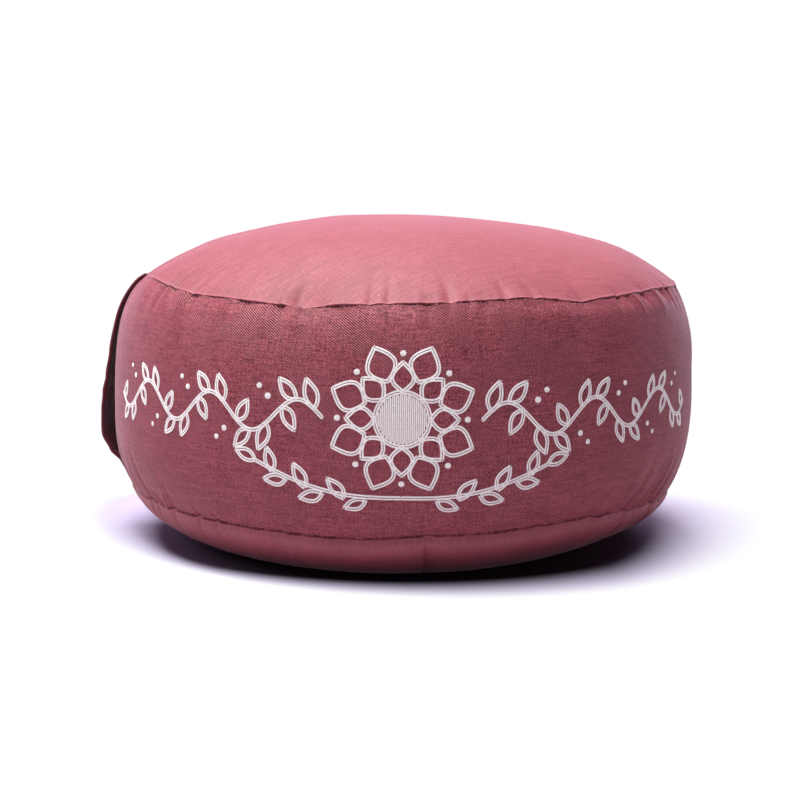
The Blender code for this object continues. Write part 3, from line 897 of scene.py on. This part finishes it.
# Leaves, tendrils and berries are sewn on both sides, at distances from the middle line
VINE_START = 39.5
VINE_HALF_WAVES = 6
VINE_WAVES = 2.96  # its tip stops just short of the last half wave
VINE_HEIGHT = 93.5
VINE_SWING = 8.5
VINE_WAVE = 51.6
VINE_TAPER = 0.055  # each half wave's leaves are this share smaller than the last one's
Sprig = namedtuple("Sprig", "phase turn length width bend")
VINE_SPRIGS = [
    Sprig(31, 80, 15, 6.6, -2),
    Sprig(96, 38, 13.5, 6.2, 1.8),
    Sprig(149, -128, 13, 6, 1.8),
]
Spot = namedtuple("Spot", "phase lift radius")
VINE_BERRIES = [
    Spot(205, 9.2, 1.6),
    Spot(240, 14, 1.4),
]
LEAF_POWER = 0.88  # a leaf is widest a little short of its middle
Leaf = namedtuple("Leaf", "along height turn length width bend")
Twig = namedtuple("Twig", "along height far_along far_height sag")
TWIG = Twig(0, 54.5, 76, 70, 5.2)
TWIG_LEAVES = [
    Leaf(18, 53, -30, 11.5, 5, 1.6),
    Leaf(29, 53.6, 58, 12.5, 5.4, -1.8),
    Leaf(40, 55.5, -22, 12.5, 5.4, 1.8),
    Leaf(49, 57.9, 72, 13, 5.6, -1.8),
    Leaf(59, 61.6, -12, 12, 5.2, 1.8),
    Leaf(66.5, 65, 84, 12, 5.2, -1.6),
    Leaf(76, 70, 26, 12, 5.2, -1),
]


def leaf_path(leaf):
    """The outline of a pointed leaf or petal, out from its base and back again."""
    share = np.linspace(0.0, 1.0, 50)
    half = 0.5 * leaf.width * np.sin(pi * share**LEAF_POWER)
    spine = leaf.bend * share * share
    out = np.stack([leaf.length * share, spine + half], 1)
    back = np.stack([leaf.length * share, spine - half], 1)[::-1]
    bearing = radians(leaf.turn)
    spin = np.array([[cos(bearing), sin(bearing)], [-sin(bearing), cos(bearing)]])
    return np.concatenate([out, back[1:]]) @ spin + (leaf.along, leaf.height)


def line_stitches(path):
    """Two rows of slanting stitches along a line, each stitch with its place, turn and length."""
    travelled = np.concatenate([[0.0], np.cumsum(np.hypot(*np.diff(path, axis=0).T))])

    def place_at(distance):
        return np.array([np.interp(distance, travelled, column) for column in path.T])

    rows = []
    for side in (1.0, -1.0):
        at = np.arange((0.5 + 0.25 * side) * STITCH_PITCH, travelled[-1], STITCH_PITCH)
        run, rise = place_at(at + STITCH_PITCH) - place_at(at - STITCH_PITCH)
        bearing = np.arctan2(rise, run)
        beside = side * LINE_ROW_PLACE * LINE_WIDTH
        along, height = place_at(at) + beside * np.array([-np.sin(bearing), np.cos(bearing)])
        turn = np.degrees(bearing) + side * STITCH_SLANT
        rows.append(np.stack([along, height, turn, np.full_like(at, STITCH_LENGTH)], 1))
    return np.concatenate(rows)


def berry_stitches(along, height, radius):
    """A round spot filled with stitches side by side."""
    across = np.arange(0.5 * BERRY_PITCH - radius, radius, BERRY_PITCH)
    length = 2.0 * np.sqrt(radius * radius - across * across) + THREAD_WIDTH
    level = np.full_like(across, height)
    return np.stack([along + across, level, np.full_like(across, 90.0), length], 1)


def centre_stitches():
    """The rosette's centre, filled with columns of stitches that slant by turns."""
    rows = []
    columns = int(CENTRE_RADIUS / FILL_COLUMN)
    for column in range(-columns, columns + 1):
        across = column * FILL_COLUMN
        half = sqrt(max(CENTRE_RADIUS**2 - across**2, 0.0))
        rise = np.arange(-half, half, FILL_PITCH) + 0.5 * FILL_PITCH * (column % 2)
        slant = 90.0 - FILL_SLANT if column % 2 else 90.0 + FILL_SLANT
        stitches = np.full((len(rise), 4), (across, ROSETTE_HEIGHT, slant, FILL_STITCH))
        stitches[:, 1] += rise
        rows.append(stitches)
    return np.concatenate(rows)


def rosette_places(ringed, distance):
    """The turns round the rosette's centre, and the places at a distance from it."""
    for number in range(ringed.count):
        turn = 90.0 + ringed.turn + 360.0 * number / ringed.count
        bearing = radians(turn)
        yield turn, distance * cos(bearing), ROSETTE_HEIGHT + distance * sin(bearing)


def rosette_stitches():
    """The middle rosette: its filled centre, two rows of petals and a ring of berries."""
    rim = np.linspace(0.0, tau, 90)
    rim_path = CENTRE_RIM_RADIUS * np.stack([np.cos(rim), np.sin(rim)], 1)
    rows = [centre_stitches(), line_stitches(rim_path + (0.0, ROSETTE_HEIGHT))]
    for petals in PETAL_ROWS:
        for turn, along, height in rosette_places(petals, petals.base):
            petal = Leaf(along, height, turn, petals.length, petals.width, 0.0)
            rows.append(line_stitches(leaf_path(petal)))
    for _, along, height in rosette_places(ROSETTE_BERRIES, ROSETTE_BERRIES.ring):
        rows.append(berry_stitches(along, height, ROSETTE_BERRIES.radius))
    return np.concatenate(rows)


def vine_stitches():
    """The waving vine towards +X; each half wave has its own sprigs and a pair of berries."""
    along = VINE_START + VINE_WAVE * np.linspace(0.0, VINE_WAVES, 300)
    wave = VINE_SWING * np.sin(tau * (along - VINE_START) / VINE_WAVE)
    rows = [line_stitches(np.stack([along, VINE_HEIGHT + wave], 1))]
    for half in range(VINE_HALF_WAVES):
        way = -1.0 if half % 2 else 1.0
        size = 1.0 - VINE_TAPER * half
        start = VINE_START + VINE_WAVE * half / 2.0
        for sprig in VINE_SPRIGS:
            base = start + VINE_WAVE * sprig.phase / 360.0
            height = VINE_HEIGHT + way * VINE_SWING * sin(radians(sprig.phase))
            length, width, bend = size * sprig.length, size * sprig.width, size * sprig.bend
            leaf = Leaf(base, height, way * sprig.turn, length, width, way * bend)
            rows.append(line_stitches(leaf_path(leaf)))
        berries = VINE_BERRIES if half < VINE_HALF_WAVES - 1 else []
        for spot in berries:
            base = start + VINE_WAVE * spot.phase / 360.0
            rows.append(berry_stitches(base, VINE_HEIGHT + way * spot.lift, size * spot.radius))
    return np.concatenate(rows)


def twig_stitches():
    """The leafy twig below the rosette, towards +X."""
    share = np.linspace(0.0, 1.0, 120)
    out = TWIG.along + (TWIG.far_along - TWIG.along) * share
    up = TWIG.height + (TWIG.far_height - TWIG.height) * share - TWIG.sag * np.sin(pi * share)
    rows = [line_stitches(np.stack([out, up], 1))]
    rows += [line_stitches(leaf_path(leaf)) for leaf in TWIG_LEAVES]
    return np.concatenate(rows)


def mirrored(stitches):
    """The same stitches on the other side of the middle line."""
    return stitches * (-1.0, 1.0, -1.0, 1.0) + (0.0, 0.0, 180.0, 0.0)


def band_surface(azimuth, height):
    """Points on the finished band."""
    depth = dent_depth(azimuth, height)
    for seam in (top_seam, bottom_seam):
        from_seam = seam.rise * (height - seam_height(seam, azimuth))
        folded = fold_depth(seam.folds, azimuth, GIRTH_RADIUS, from_seam, "band")
        depth += folded * (seam.rise * (girth_height(azimuth) - height) >= 0.0)
    return around(azimuth, band_radius(azimuth, height) - depth, height)


def unit_rows(rows):
    """Each row as a direction of length one."""
    return rows / np.linalg.norm(rows, axis=1, keepdims=True)


def thread_bead():
    """One stitch, a slim closed bead along X, as its points and its triangles."""
    form = bmesh.new()
    bmesh.ops.create_uvsphere(form, u_segments=5, v_segments=4, radius=0.5)
    bmesh.ops.rotate(form, verts=form.verts[:], matrix=Matrix.Rotation(radians(90.0), 3, "Y"))
    bmesh.ops.triangulate(form, faces=form.faces[:])
    points = np.array([corner.co[:] for corner in form.verts])
    faces = np.array(sorted([corner.index for corner in face.verts] for face in form.faces))
    form.free()
    return points, faces


NEAR_TURN = 0.2  # the band's slope under a stitch is taken this many degrees either side
NEAR_RISE = 0.6  # and this far up and down


def sewn(name, stitches, material):
    """Joins stitches into one piece that lies on the band."""
    azimuth = np.degrees(stitches[:, 0] * MM / GIRTH_RADIUS)
    height = stitches[:, 1] * MM
    right = band_surface(azimuth + NEAR_TURN, height)
    left = band_surface(azimuth - NEAR_TURN, height)
    above = band_surface(azimuth, height + NEAR_RISE * MM)
    below = band_surface(azimuth, height - NEAR_RISE * MM)
    sideways = unit_rows(right - left)
    upward = unit_rows(above - below)
    outward = unit_rows(np.cross(sideways, upward))
    bearing = np.radians(stitches[:, 2:3])
    along = sideways * np.cos(bearing) + upward * np.sin(bearing)
    beside = np.cross(outward, along) * THREAD_WIDTH
    axes = MM * np.stack([along * stitches[:, 3:4], beside, outward * THREAD_RISE], 1)
    points, faces = thread_bead()
    middle = band_surface(azimuth, height) + THREAD_LIFT * axes[:, 2]
    shaped = middle[:, None, :] + points @ axes
    corners = faces + np.arange(len(stitches))[:, None, None] * len(points)
    mesh = bpy.data.meshes.new(name)
    mesh.from_pydata(shaped.reshape(-1, 3), [], corners.reshape(-1, 3))
    mesh.shade_smooth()
    mesh.materials.append(material)
    piece = stood(name, mesh)
    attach(piece, "root")


THREAD_GRAIN = 1900.0  # cells to a metre of the thread's uneven shine
THREAD_FINISH = {
    "Roughness": 0.26,
    "Specular IOR Level": 1.0,
    "Sheen Weight": 1.0,
    "Sheen Roughness": 0.35,
}
THREAD_SHADES = ((0.32, (0.78, 0.78, 0.78, 1.0)), (0.68, (0.99, 0.99, 0.98, 1.0)))


def silver_thread():
    """Glossy pale thread, a little darker here and there as the stitches turn."""
    material, tree, shader = new_finish("silver_thread", THREAD_FINISH)
    at = added(tree, "ShaderNodeTexCoord", output=3)
    shine = added(tree, "ShaderNodeTexNoise", Vector=at, Scale=THREAD_GRAIN, Detail=2.0)
    ramp = joined(tree, "ShaderNodeValToRGB", shine)
    for stop, (place, shade) in zip(ramp.color_ramp.elements, THREAD_SHADES):
        stop.position = place
        stop.color = shade
    tree.links.new(ramp.outputs[0], shader.inputs["Base Color"])
    return material


thread = silver_thread()
sewn("rosette", rosette_stitches(), thread)
right_side = np.concatenate([vine_stitches(), twig_stitches()])
sewn("right_vine", right_side, thread)
sewn("left_vine", mirrored(right_side), thread)


# The studio
# A white floor, painted with shadow near the cushion, a broad soft lamp overhead on the left with
# two weak ones behind, a pale glow from the backdrop, and a camera at the height and distance
# from which the cushion was seen.

CAMERA_PLACE = (-0.0013, -1.0, 0.230)
CAMERA_PITCH = 8.6  # degrees below the level
CAMERA_ROLL = 0.83
CAMERA_FOCAL_PIXELS = 1737.0
IMAGE_WIDTH = 800.0
SENSOR_WIDTH = 36.0
FLOOR_HALF = 3.0
FLOOR_SEEN = (0.47, 0.41, 0.59, 1.0)  # how strongly the sweep shows its own light and shade, lavender so its shade comes out lavender as a painted shadow tint
# Darker on the left: painted shadow
FLOOR_LEFT_PAINTED_SHADOW = (0.39, 0.345, 0.50, 1.0)
FLOOR_LEFT_EDGE = (-0.165, -0.095)
FLOOR_PAINTED_SHADOW = (0.062, 0.042, 0.056, 1.0)  # painted contact shadow, close to where the cushion touches
FLOOR_PAINTED_SHADOW_CENTRE = (0.012, 0.0)
FLOOR_PAINTED_SHADOW_EDGE = (0.116, 0.150)
FLOOR_BOUNCE = (0.54, 0.475, 0.53, 1.0)  # how strongly it throws light back at the cushion
BOUNCE_NEAR = (0.26, 0.20, 0.24, 1.0)
BOUNCE_EDGE = (0.125, 0.190)
WASH_CENTRE = (0.0125, 0.063)  # round here the sweep shows its shade; outwards a painted white glow washes it out, painting the shadow's outer edge
WASH_BACK_SQUEEZE = 1.0  # behind the cushion, distances count as this much further
WASH_RIGHT_EDGE = (0.11, 0.21)
PAINTED_SHADOW_TINT = (0.85, 0.775, 1.0, 1.0)
PAINTED_SHADOW_TINT_POWER = 4.0  # only the wash's dim edge gets this painted lavender shadow tint
WASH_STRENGTH = 1.02
FRONT_SKY = (0.64, 0.52, 0.62, 1.0)
BACK_SKY = (2.15, 1.74, 2.27, 1.0)
SKY_EDGE = (0.10, 0.70)  # a glow fades in between these amounts of facing forward or back
SKY_RISE = (0.12, 0.55)  # and fades out again between these heights
# Where the wash, which paints the shadow's outer edge, starts and where it ends: in front, how much
# further for each metre to the right and then past the right edge, and on the left
Wash = namedtuple("Wash", "in_front lean on_right on_left")
WASH_EDGES = [
    Wash(0.1765, -0.10, -0.063, 0.173),
    Wash(0.212, 0.07, -0.006, 0.205),
]
WHITE = (1.0, 1.0, 1.0, 1.0)
BLACK = (0.0, 0.0, 0.0, 1.0)
Lamp = namedtuple("Lamp", "name place target width height power colour")
LAMPS = [
    Lamp("overhead", (-0.36, -0.02, 1.45), (-0.04, 0.0, 0.10), 1.15, 0.95, 62.5, (1.0, 0.99, 0.96)),
    Lamp("behind", (0.0, 0.90, 1.20), (0.0, 0.0, 0.10), 1.60, 1.00, 3.7, (1.0, 0.94, 0.99)),
    Lamp("right_rim", (1.00, 0.80, 0.50), (0.0, 0.0, 0.10), 0.90, 0.80, 1.4, (1.0, 0.78, 0.90)),
]


def eased(tree, value, low, high):
    """Rises smoothly from 0 to 1 as the value goes from low to high."""
    made = joined(tree, "ShaderNodeMapRange", value, low, high)
    made.interpolation_type = "SMOOTHSTEP"
    return made.outputs[0]


def far_from(tree, across, back, centre, squeeze):
    """The distance from a place on the floor, growing faster behind it by the squeeze."""
    x = worked(tree, "SUBTRACT", across, centre[0])
    y = worked(tree, "SUBTRACT", back, centre[1])
    y = worked(tree, "MULTIPLY_ADD", worked(tree, "MAXIMUM", y, 0.0), squeeze, y)
    out = added(tree, "ShaderNodeCombineXYZ", X=x, Y=y)
    return added(tree, "ShaderNodeVectorMath", output=1, operation="LENGTH", Vector=out)


def mixed_shader(tree, share, low, high):
    """One shader where the share is 0 and another where it is 1."""
    return joined(tree, "ShaderNodeMixShader", share, low, high).outputs[0]


def white_floor():
    """A white sweep: its own shade near the cushion with painted shadow there and on the left, and a
    painted white glow further out.
    """
    material, tree, shader = new_finish("white_floor", {})
    tree.nodes.remove(shader)
    at = added(tree, "ShaderNodeTexCoord", output=3)
    across, back = joined(tree, "ShaderNodeSeparateXYZ", at).outputs[:2]
    deep_far = far_from(tree, across, back, FLOOR_PAINTED_SHADOW_CENTRE, 0.0)
    left_share = eased(tree, across, *FLOOR_LEFT_EDGE)
    right_share = eased(tree, across, *WASH_RIGHT_EDGE)
    bounce_shade = between(tree, eased(tree, deep_far, *BOUNCE_EDGE), BOUNCE_NEAR, FLOOR_BOUNCE)
    # Painted shadow: darker on the left and close to where the cushion touches
    shade = between(tree, left_share, FLOOR_LEFT_PAINTED_SHADOW, FLOOR_SEEN)
    shade = between(tree, eased(tree, deep_far, *FLOOR_PAINTED_SHADOW_EDGE), FLOOR_PAINTED_SHADOW, shade)
    edges = []
    for edge in WASH_EDGES:
        terms = ((across, edge.lean), (right_share, edge.on_right))
        further = summed(tree, edge.in_front - edge.on_left, *terms)
        edges.append(worked(tree, "MULTIPLY_ADD", further, left_share, edge.on_left))
    wash = eased(tree, far_from(tree, across, back, WASH_CENTRE, WASH_BACK_SQUEEZE), *edges)
    # Painted shadow tint at the dim edge, and a painted white glow beyond
    tint = between(tree, worked(tree, "POWER", wash, PAINTED_SHADOW_TINT_POWER), PAINTED_SHADOW_TINT, WHITE)
    glow = added(tree, "ShaderNodeEmission", Color=tint, Strength=WASH_STRENGTH)
    seen = mixed_shader(tree, wash, added(tree, "ShaderNodeBsdfDiffuse", Color=shade), glow)
    bounce = added(tree, "ShaderNodeBsdfDiffuse", Color=bounce_shade)
    finish = mixed_shader(tree, added(tree, "ShaderNodeLightPath"), bounce, seen)
    tree.links.new(finish, tree.nodes["Material Output"].inputs["Surface"])
    return material


floor_form = bmesh.new()
bmesh.ops.create_grid(floor_form, x_segments=2, y_segments=2, size=FLOOR_HALF)
floor_mesh = as_mesh(floor_form, "floor")
floor_mesh.materials.append(white_floor())
floor = stood("floor", floor_mesh)

for lamp in LAMPS:
    light = bpy.data.lights.new(lamp.name, "AREA")
    light.shape = "RECTANGLE"
    light.size = lamp.width
    light.size_y = lamp.height
    light.energy = lamp.power
    light.color = lamp.colour
    holder = stood(lamp.name, light)
    holder.location = lamp.place
    way = Vector(lamp.target) - Vector(lamp.place)
    holder.rotation_euler = way.to_track_quat("-Z", "Y").to_euler()

world = bpy.data.worlds.new("studio")
world.use_nodes = True
tree = world.node_tree
facing = joined(tree, "ShaderNodeSeparateXYZ", added(tree, "ShaderNodeTexCoord")).outputs
near_horizon = worked(tree, "SUBTRACT", 1.0, eased(tree, facing[2], *SKY_RISE))
sky_colour = BLACK
for way, sky_glow in ((1.0, BACK_SKY), (-1.0, FRONT_SKY)):
    share = eased(tree, worked(tree, "MULTIPLY", facing[1], way), *SKY_EDGE)
    share = worked(tree, "MULTIPLY", share, near_horizon)
    sky_colour = between(tree, share, sky_colour, sky_glow)
ambient = added(tree, "ShaderNodeBackground", Color=sky_colour, Strength=1.0)
plain = added(tree, "ShaderNodeBackground", Color=WHITE, Strength=1.0)
sky = mixed_shader(tree, added(tree, "ShaderNodeLightPath"), ambient, plain)
tree.links.new(sky, tree.nodes["World Output"].inputs["Surface"])
bpy.context.scene.world = world
bpy.context.scene.view_settings.view_transform = "Standard"

camera_data = bpy.data.cameras.new("camera")
camera_data.sensor_width = SENSOR_WIDTH
camera_data.lens = CAMERA_FOCAL_PIXELS / IMAGE_WIDTH * SENSOR_WIDTH
camera = stood("camera", camera_data)
tilt = Matrix.Rotation(radians(90.0 - CAMERA_PITCH), 4, "X")
roll = Matrix.Rotation(radians(CAMERA_ROLL), 4, "Z")
camera.matrix_world = Matrix.Translation(CAMERA_PLACE) @ tilt @ roll
bpy.context.scene.camera = camera
